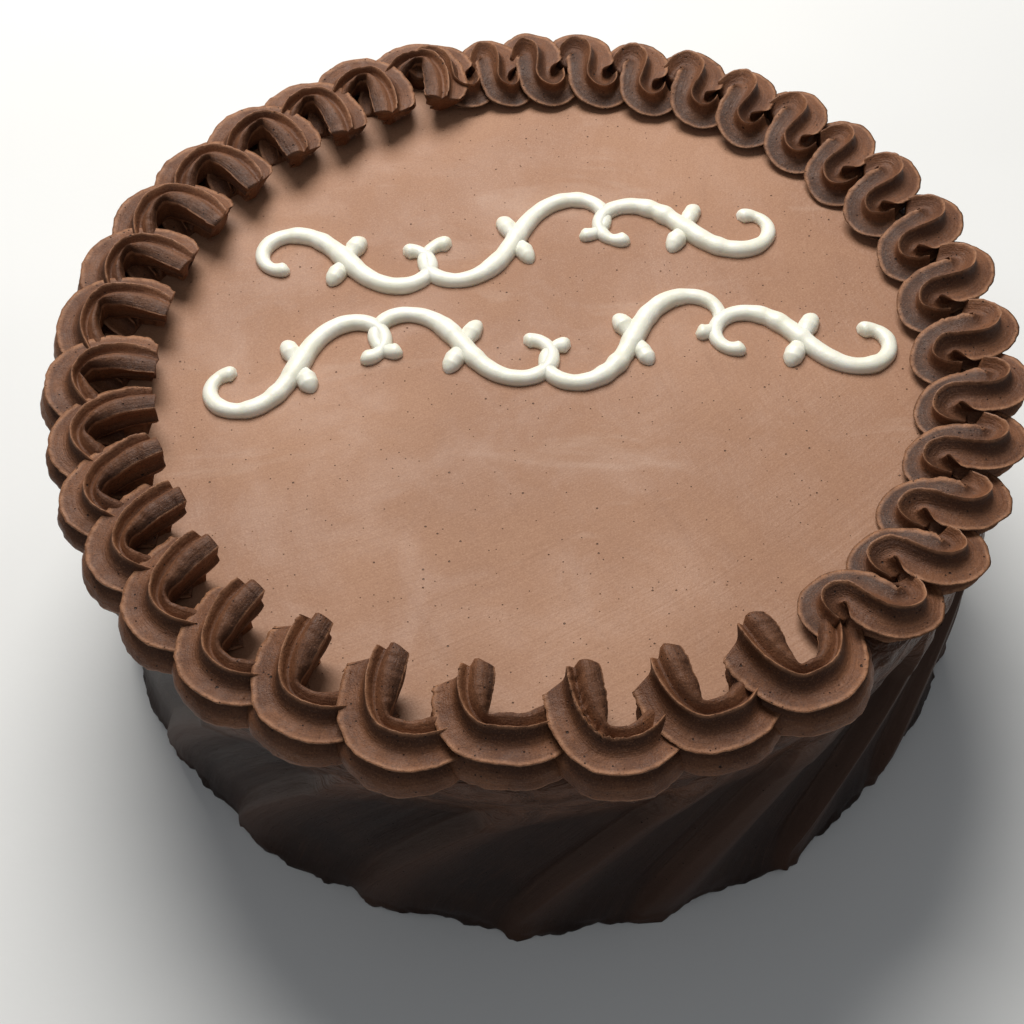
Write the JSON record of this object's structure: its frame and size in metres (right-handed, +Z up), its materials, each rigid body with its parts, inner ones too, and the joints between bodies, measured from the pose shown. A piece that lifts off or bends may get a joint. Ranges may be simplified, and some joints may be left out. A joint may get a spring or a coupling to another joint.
{
  "type": "iced layer cake",
  "caption": "Round iced layer cake with a flat top, a piped shell border round the rim, a swirled side and piped cream scrolls.",
  "frame": {"origin": "centre of the flat underside, on the cake's axis", "axes": "+Z up along the cake's axis; -Y faces the viewer of the scrolls, which read left to right along +X"},
  "size_m": [0.2826, 0.2808, 0.1118],
  "materials": {
    "cake": "smooth chocolate buttercream, satin",
    "piped_border": "piped chocolate buttercream, satin with sharp ridges",
    "scrolls": "cream coloured piped buttercream, soft gloss"
  },
  "bodies": {
    "root": {"cake": "cake", "piped_border": "piped_border", "scroll_upper": "scrolls", "scroll_lower": "scrolls"}
  },
  "joints": []
}
